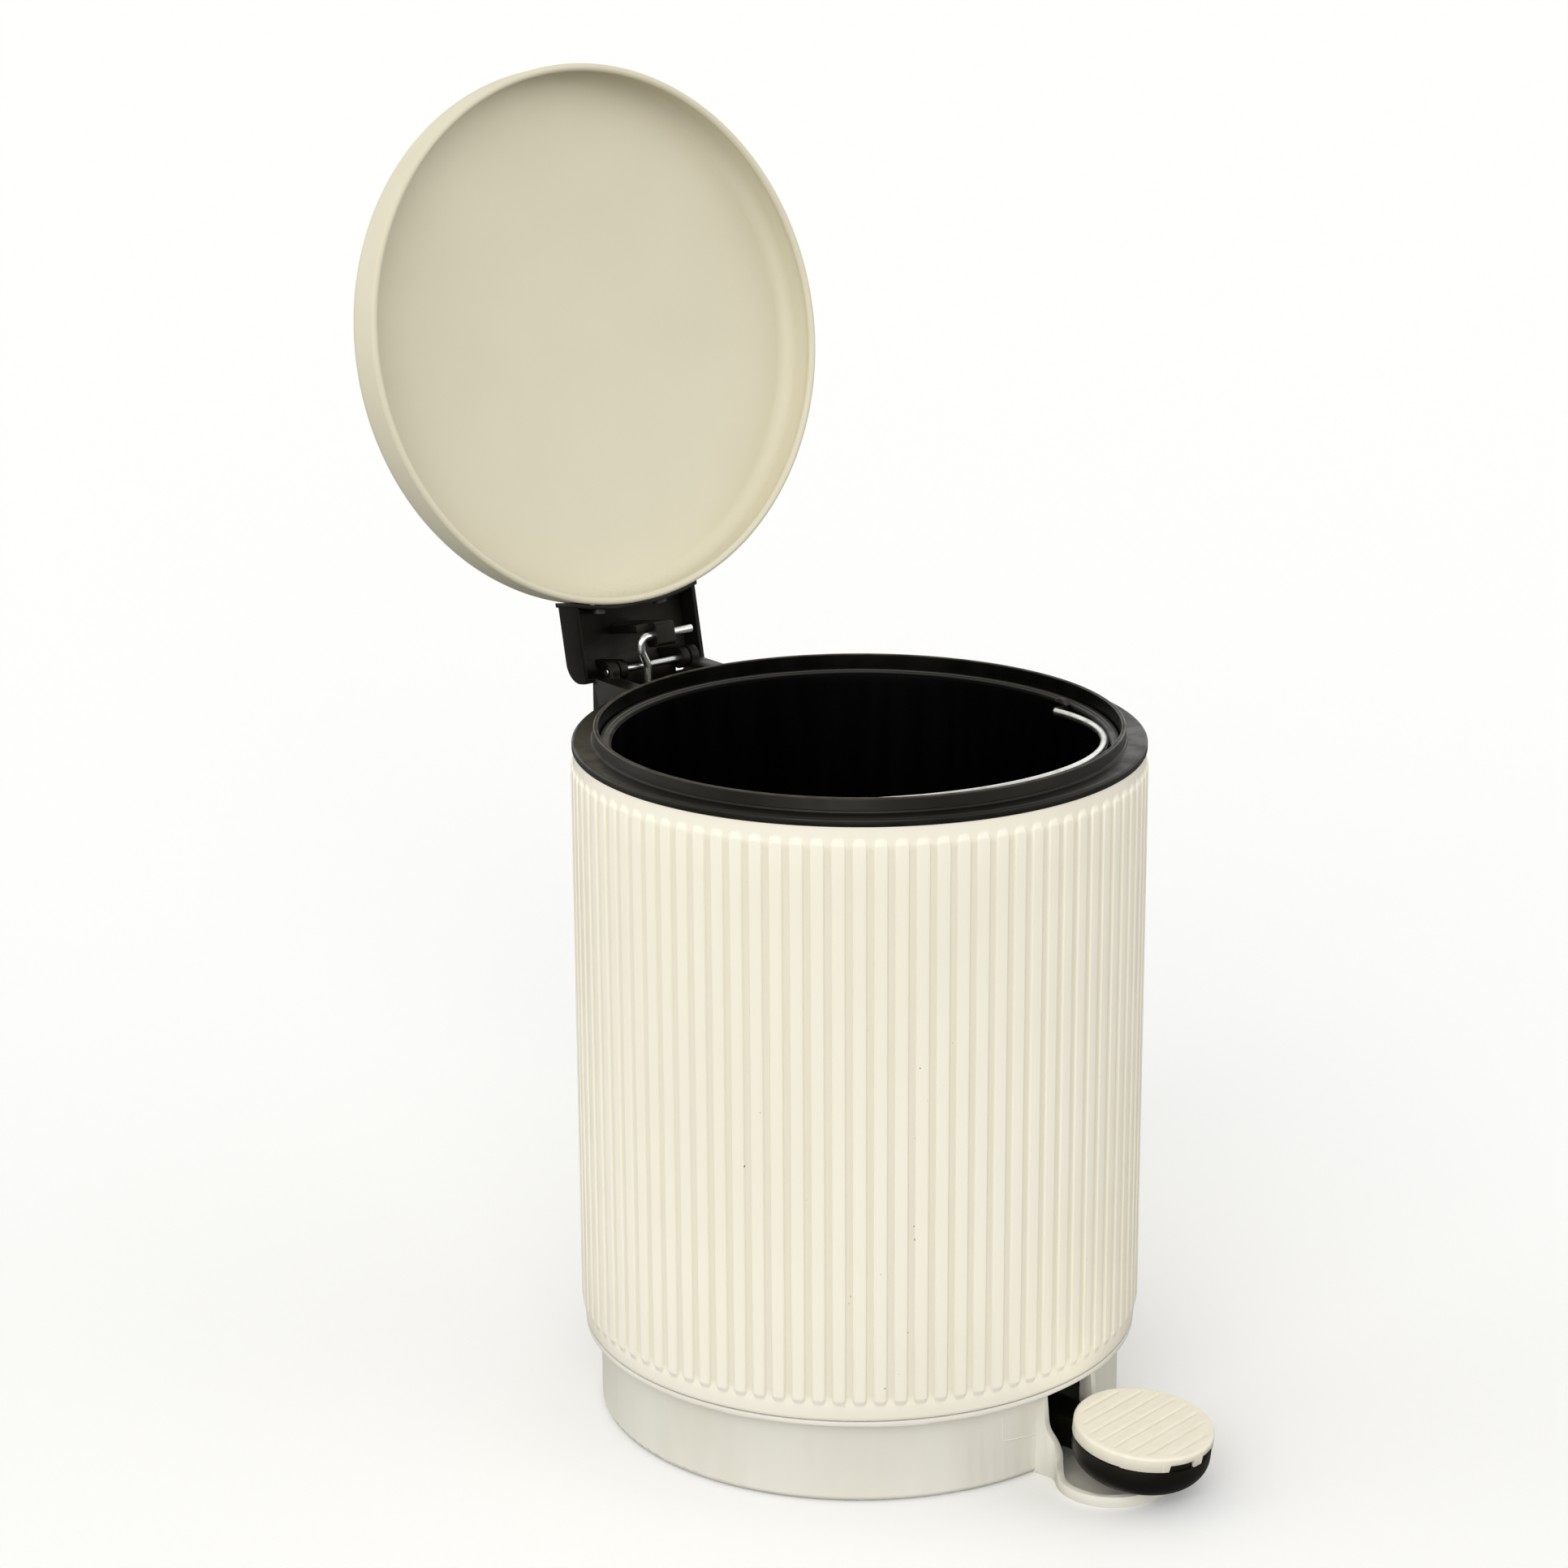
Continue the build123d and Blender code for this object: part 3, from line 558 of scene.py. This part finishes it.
def drum():
    """Ribbed sheet drum, with the lift rod's window cut through its back."""
    half_pitch = pi * CREST_R / RIB_COUNT
    rising = [0.7, 1.4, RIB_FLAT, 2.08, 2.2, 2.3, 2.4, 2.52, RIB_FOOT, 3.1]
    across = np.array([-half_pitch, *(-x for x in rising[::-1]), 0, *rising])
    samples = len(across)
    columns = RIB_COUNT * samples
    window_low, window_high, window_half = 176.0, 230.0, 13.0
    end_rows = np.linspace(0, RIB_END, 9)
    drum_low = SHELL_Z0 + 0.3
    taper_depth, taper_height = 0.6, 5
    edge_depth, edge_height = 0.25, 0.4
    heights = np.concatenate([
        [drum_low, drum_low + edge_height, SHELL_Z0 + 1.5, SHELL_Z0 + 3],
        RIB_LOW - end_rows[::-1], [80, 130, window_low, window_high],
        RIB_HIGH + end_rows, [SHELL_Z1 - 1.4, SHELL_Z1 - 0.4, SHELL_Z1],
    ])
    heights = np.sort(heights)
    turns = (across / (2 * half_pitch))[None, :] + np.arange(RIB_COUNT)[:, None]
    angles = (turns * 2 * pi / RIB_COUNT).ravel()
    across = np.abs(np.tile(across, RIB_COUNT))
    verts, rings = [], []

    def add_ring(radii, height):
        rings.append(len(verts))
        verts.extend(zip(radii * np.cos(angles), radii * np.sin(angles), [height] * columns))

    for height in heights:
        past_end = max(RIB_LOW - height, height - RIB_HIGH, 0)
        taper = taper_depth * smoothstep(SHELL_Z0 + taper_height, SHELL_Z0, height)
        edge = edge_depth * smoothstep(drum_low + edge_height, drum_low, height)
        ribs = RIB_HEIGHT * rib_shape(across, past_end)
        add_ring(SHELL_R - taper - edge + ribs, height)
    outer_count = len(rings)
    window_row = int(np.searchsorted(heights, window_low))
    inner_heights = [SHELL_Z1, window_high, window_low, drum_low]
    for height in inner_heights:
        add_ring(np.full(columns, SHELL_R - SHEET), height)

    middle = pi / 2 + TWIST
    in_window = np.abs(angles + pi / columns - middle) < window_half / SHELL_R
    open_rows = {window_row, outer_count + 1}
    faces = []
    for row in range(len(rings)):
        a, b = rings[row], rings[(row + 1) % len(rings)]
        for i in range(columns):
            if row in open_rows and in_window[i]:
                continue
            j = (i + 1) % columns
            faces.append((a + i, a + j, b + j, b + i))
    outer_a, outer_b = rings[window_row], rings[window_row + 1]
    inner_b, inner_a = rings[outer_count + 1], rings[outer_count + 2]
    cut = np.flatnonzero(in_window)
    for i in cut:
        j = i + 1
        faces.append((outer_a + i, outer_a + j, inner_a + j, inner_a + i))
        faces.append((outer_b + i, outer_b + j, inner_b + j, inner_b + i))
    for i in (cut[0], cut[-1] + 1):
        faces.append((outer_a + i, outer_b + i, inner_b + i, inner_a + i))
    mesh = mesh_from("drum", verts, faces, crease=60)
    add_piece("ribbed_drum", mesh, "bin", "cream_paint", ["outer_shell"])


def lid():
    """Dished sheet lid with a rolled rim."""
    radius, low, top, sheet, roll = 101.25, 254.0, 272.0, 0.8, 1.45
    inner = radius - sheet
    centre_r, centre_z = radius - roll + 0.03, low + roll
    bead_turn = radians(65) - 2 * pi      # the roll stops 65 degrees short of a full turn
    bead_steps = 26
    bead_angles = [bead_turn * k / bead_steps for k in range(bead_steps + 1)]
    bead = [(centre_r + roll * cos(angle), centre_z + roll * sin(angle)) for angle in bead_angles]
    skirt = rounded([(0, top, 0), (radius - 0.35, top, 6.5), (radius, centre_z + 2, 0)], 10)[:-1]
    inside = rounded([
        (inner, centre_z + 2.4, 0), (inner - 0.35, top - sheet, 5.7), (0, top - sheet, 0),
    ], 10)
    verts, faces = lathe(skirt + bead + inside, 360)
    pan = mesh_from("lid_pan", verts, faces, ON_LID, 40)
    add_piece("lid_pan", pan, "lid", "cream_paint", ["lid"], "lid_paint")


def top_ring():
    """Moulded ring: flat flange outside, step, and a collar with a grooved lip."""
    outline = rounded([
        (100.6, 240, 0), (100.6, 250.6, 0), (102.5, 250.6, 0.3), (102.5, 253.4, 0.9),
        (101.0, 253.4, 0), (95.5, 253.3, 0.2), (95.4, 254.1, 0.25), (94.8, 254.1, 0.1),
        (94.75, COLLAR_TOP, 0.5), (94.1, COLLAR_TOP, 0.15), (94.0, 258.0, 0.15), (93.8, 258.0, 0.15),
        (93.7, COLLAR_TOP, 0.15), (93.0, COLLAR_TOP, 0.4), (93.05, 251.0, 0), (90.8, 251.0, 0.3),
        (90.8, 249.0, 0.3), (98.8, 249.0, 0), (98.8, 240, 0),
    ], 4)

    def waver(angle, radius, height):
        """The flange's edge isn't perfectly round."""
        return 0.03 * sin(11 * angle) * sin(5 * angle + 1) if radius > 101 and height > 250 else 0

    verts, faces = lathe(outline, 360, waver)
    ring = mesh_from("top_ring", verts, faces, ON_HEAD, 28)
    add_piece("collar_ring", ring, "bin", "black_plastic", ["top_ring"], "ring_plastic")


def bucket():
    """Inner bucket with a stepped rim and a boss round each handle hole."""
    outline = rounded([
        (0, 42, 0), (77.5, 42, 6), (89.9, 249.5, 0), (89.9, 251, 0.2), (92.7, 251, 0.3),
        (92.7, BUCKET_RIM_Z, 0.7), (90.9, BUCKET_RIM_Z, 0.3), (90.7, 252.6, 0.3), (90.0, 252.5, 0.3),
        (88.3, 251.5, 0.5), (88.0, 248, 0), (75.6, 44, 5), (0, 44, 0),
    ], 6)
    pail = mesh_from("pail", *lathe(outline, 360))
    parts = [pail]
    boss_outline = rounded([
        (1.6, 0, 0.2), (1.6, 1.1, 0.3), (4.6, 1.1, 0.5), (4.6, -1.0, 0), (1.6, -1.0, 0),
    ], 4)
    pivot = Vector(joints["handle_swing"]["pos_m"])
    axis = Vector(joints["handle_swing"]["axis"])
    wall = 87.9 * MM
    for side in (-1, 1):
        inward = (-side * axis).to_track_quat("Z", "Y").to_matrix().to_4x4()
        place = Matrix.Translation(pivot + side * axis * wall) @ inward
        parts.append(mesh_from("boss", *lathe(boss_outline, 40), place))
    add_piece("bucket_pail", joined("bucket_pail", parts), "bin", "bucket_plastic", ["inner_bucket"])


def knurled_pin():
    """Hinge pin, smooth but for a finely ribbed stretch right of its middle."""
    ribs, depth = 30, 0.03
    stations = [
        (-PIN_HALF, 0), (-PIN_HALF, PIN_R - 0.3), (-PIN_HALF + 0.3, PIN_R), (-0.6, PIN_R), (0.2, PIN_R),
        (13.0, PIN_R), (13.8, PIN_R), (PIN_HALF - 0.3, PIN_R), (PIN_HALF, PIN_R - 0.3), (PIN_HALF, 0),
    ]

    def ridges(angle, radius, height):
        knurled = 0.1 < height < 13.1
        return depth * (cos(ribs * angle) - 1) if knurled else 0

    verts, faces = lathe([(r, t) for t, r in stations], ribs * 6, ridges)
    lying = Matrix.Translation((0, PIN_Y * MM, PIN_Z * MM)) @ Matrix.Rotation(pi / 2, 4, "Y")
    pin = mesh_from("pin", verts, faces, ON_HEAD @ lying, 50)
    add_piece("knurled_pin", pin, "bin", "bright_wire", ["hinge_pin"])


def pedal_cap():
    """Round cap with shallow crosswise grooves and two notches in its skirt."""
    radius, top_t, skirt, segments = 25.0, 1.6, 5.4, 360
    edge_r, edge_steps, wall = 1.2, 6, 1.2
    groove_pitch, groove_depth, groove_half = 5.6, 0.4, 0.75
    notches = [(-31.6, -7.5), (2.0, 27.5)]

    def skirt_bottom(turn):
        """Height of the skirt's lower edge; turn is in degrees from straight outward."""
        for start, end in notches:
            if start < turn < end:
                return -3.0
        step = 0.25 if -123.7 < turn < -72.6 else 0
        tab = -0.25 if notches[0][1] < turn < notches[1][0] else 0
        return -skirt + step + tab

    def surface(x, y):
        """Height of the grooved top."""
        across = (y / groove_pitch) % 1 * groove_pitch - groove_pitch / 2
        groove = 1 - smoothstep(groove_half * 0.3, groove_half, abs(across))
        inside = 1 - smoothstep(radius - 3.6, radius - 2.4, sqrt(x * x + y * y))
        return -groove_depth * groove * inside

    verts, faces, rings = [(0, 0, surface(0, 0))], [], []
    turns = [360 * i / segments for i in range(segments)]

    def add_ring(r, height):
        """Ring of points; height is a number or a function of (x, y, turn in degrees)."""
        rings.append(len(verts))
        for turn in turns:
            x, y = r * sin(radians(turn)), -r * cos(radians(turn))
            signed = (turn + 180) % 360 - 180
            verts.append((x, y, height(x, y, signed) if callable(height) else height))

    for r in np.linspace(0.6, radius - edge_r, 46):
        add_ring(r, lambda x, y, turn: surface(x, y))
    for k in range(1, edge_steps + 1):
        angle = pi / 2 * (1 - k / edge_steps)
        add_ring(radius - edge_r + edge_r * cos(angle), -edge_r + edge_r * sin(angle))
    add_ring(radius, lambda x, y, turn: skirt_bottom(turn) + 0.2)
    add_ring(radius - 0.2, lambda x, y, turn: skirt_bottom(turn))
    add_ring(radius - 1.1, lambda x, y, turn: skirt_bottom(turn))
    add_ring(radius - wall, -top_t)
    last = len(verts)
    verts.append((0, 0, -top_t))
    for a, b in zip(rings, rings[1:]):
        for i in range(segments):
            j = (i + 1) % segments
            faces.append((a + i, a + j, b + j, b + i))
    for i in range(segments):
        j = (i + 1) % segments
        faces.append((0, rings[0] + j, rings[0] + i))
        faces.append((last, rings[-1] + i, rings[-1] + j))
    cap = mesh_from("cap", verts, faces, ON_PAD, 45)
    add_piece("grooved_cap", cap, "pedal", "pedal_plastic", ["pedal_cap"])


def softened_pieces():
    """CAD pieces whose shape stays, with their moulded or pressed edges rounded."""
    for node, name, body, slot, width in (
        ("pedal_lever", "lever_and_dish", "pedal", "black_plastic", 0.5),
        ("hinge_housing", "moulded_housing", "bin", "black_plastic", 0.4),
        ("lid_bracket", "lid_hood", "lid", "black_plastic", 0.35),
        ("rod_clip", "moulded_clip", "lid", "black_plastic", 0.3),
        ("pivot_clamps", "moulded_clamps", "bin", "black_plastic", 0.3),
    ):
        add_piece(name, softened(node, width), body, slot, [node])


def tube(name, path, radius, matrix, sides=24):
    """Round wire along a path of points in millimetres, with domed ends."""
    path = [Vector(point) for point in path]
    verts, faces = [], []
    side = (path[1] - path[0]).orthogonal().normalized()
    count = len(path)
    for i, point in enumerate(path):
        along = (path[min(i + 1, count - 1)] - path[max(i - 1, 0)]).normalized()
        side = (side - along * side.dot(along)).normalized()
        up = along.cross(side)
        rings = [(0, radius)]
        if i == 0:
            rings = [(0, radius * 0.5), (0.15, radius * 0.85), (0.5, radius)]
        elif i == count - 1:
            rings = [(-0.5, radius), (-0.15, radius * 0.85), (0, radius * 0.5)]
        for shift, r in rings:
            centre = point + along * shift
            for k in range(sides):
                angle = 2 * pi * k / sides
                verts.append(centre + r * (side * cos(angle) + up * sin(angle)))
    for ring in range(len(verts) // sides - 1):
        for k in range(sides):
            a, b = ring * sides + k, ring * sides + (k + 1) % sides
            faces.append((a, b, b + sides, a + sides))
    faces.append(tuple(range(sides)))
    faces.append(tuple(range(len(verts) - sides, len(verts))))
    return mesh_from(name, verts, faces, matrix, 50)


def bent(corners, steps=12):
    """Path through (x, y, z, bend radius) corners in millimetres, with an arc at each inner corner."""
    points = [Vector(corner[:3]) for corner in corners]
    path = [points[0]]
    for before, here, after, corner in zip(points, points[1:], points[2:], corners[1:]):
        radius = corner[3]
        back, ahead = (before - here).normalized(), (after - here).normalized()
        half = back.angle(ahead) / 2
        centre = here + (back + ahead).normalized() * radius / sin(half)
        start, end = (here + way * radius / tan(half) - centre for way in (back, ahead))
        path += [centre + radius * start.slerp(end, step / steps).normalized() for step in range(steps + 1)]
    return path + [points[-1]]


def wire_handle():
    """The bucket's handle: a hook at each end and one long bow between them."""
    reach, pivot_r, hook_end, bend, tilt = 89.3, 84.0, 90.5, 2.4, radians(4.3)
    bow_y = (reach ** 2 - pivot_r ** 2) / (2 * reach)
    bow_r = reach - bow_y
    corner_x = sqrt((bow_r + bend) ** 2 - (bend - bow_y) ** 2)
    lean = atan2(bend - bow_y, corner_x)
    hook = [(hook_end, 0)]
    for step in range(13):
        angle = 1.5 * pi + (lean - pi / 2) * step / 12
        hook.append((corner_x + bend * cos(angle), bend + bend * sin(angle)))
    bow_steps = 160
    bow_angles = [lean + (pi - 2 * lean) * step / bow_steps for step in range(1, bow_steps)]
    bow = [(bow_r * cos(angle), bow_y + bow_r * sin(angle)) for angle in bow_angles]
    path = hook + bow + [(-x, y) for x, y in reversed(hook)]
    pivot = joints["handle_swing"]
    axis = pivot["axis"]
    place = (
        Matrix.Translation(pivot["pos_m"]) @ Matrix.Rotation(atan2(axis[1], axis[0]), 4, "Z")
        @ Matrix.Rotation(tilt, 4, "X"))
    wire = tube("wire_handle", [(x, y, 0) for x, y in path], 1.4, place)
    add_piece("wire_handle", wire, "handle", "bright_wire", ["bail_handle"])


def bent_lift_rod():
    """The lift rod: top run in the clip, S-bend, long shank down the drum and a hook in the lever."""
    clip = ON_HEAD.inverted() @ Vector(joints["lift_rod_swing"]["pos_m"]) / MM
    y, z = clip.y, clip.z
    low = [ON_HEAD.inverted() @ Vector(point) for point in ((7, 85, 58), (7, 85, 27.3), (-6.5, 85, 27.3))]
    corners = [
        (16.5, y, z, 0), (-7.2, y, z, 2.8), (-7.2, y, z - 5.4, 4), (-4.4, y, 255, 5), (-4.4, y, 232, 8),
        (-7.5, 97.4, 205, 10), (-8.6, 94.5, 84, 12), (*low[0], 10), (*low[1], 2.8), (*low[2], 0),
    ]
    rod = tube("bent_lift_rod", bent(corners), 1.5, ON_HEAD)
    add_piece("bent_lift_rod", rod, "lift_rod", "bright_wire", ["lift_rod"])


MOULD_LINE = ((-108.2, 28.6), (-108.1, 16.6), (-99.6, 15.2))     # (degrees round the axis, height)


def moulded_base():
    """The base, with uneven moulding flash under its lip and a faint mould line by the pedal opening."""
    wall_r, lip_r, lip_z = 96.0, 101.5, 32.0

    def ragged(angle, radius, height):
        """How far the flash falls short of the lip's edge."""
        ripple = sin(7 * angle + 1) + sin(17 * angle) * sin(5 * angle)
        ripple += 0.6 * sin(61 * angle) * sin(23 * angle)
        return -0.12 * max(ripple + 1.2, 0) if height < lip_z - 0.1 else 0

    flash = lathe([
        (lip_r - 0.9, lip_z + 0.1), (lip_r - 0.05, lip_z + 0.1),
        (lip_r - 0.04, lip_z - 0.22), (lip_r - 0.3, lip_z - 0.26),
    ], 720, ragged)
    parts = [softened("base", 0.7), mesh_from("flash", *flash)]
    for corners in ((MOULD_LINE[0], MOULD_LINE[1]), (MOULD_LINE[1], MOULD_LINE[2])):
        (a0, z0), (a1, z1) = corners
        line = []
        for step in range(13):
            angle = radians(a0 + (a1 - a0) * step / 12)
            line.append((wall_r * cos(angle), wall_r * sin(angle), z0 + (z1 - z0) * step / 12))
        parts.append(tube("mould_line", line, 0.2, None, 8))
    add_piece("moulded_base", joined("moulded_base", parts), "bin", "base_plastic", ["base"])


def dress_cad_nodes():
    """Materials for the CAD nodes that are shown as they are."""
    finish_of = {part["node"]: part["material_slot"] for part in frame["record"]["subparts"]}
    for name, node in frame["nodes"].items():
        node.data.materials.clear()
        node.data.materials.append(MATERIALS[finish_of[name]])


add_camera()
add_lights()
add_floor()
drum()
lid()
top_ring()
bucket()
knurled_pin()
pedal_cap()
moulded_base()
softened_pieces()
wire_handle()
bent_lift_rod()
dress_cad_nodes()
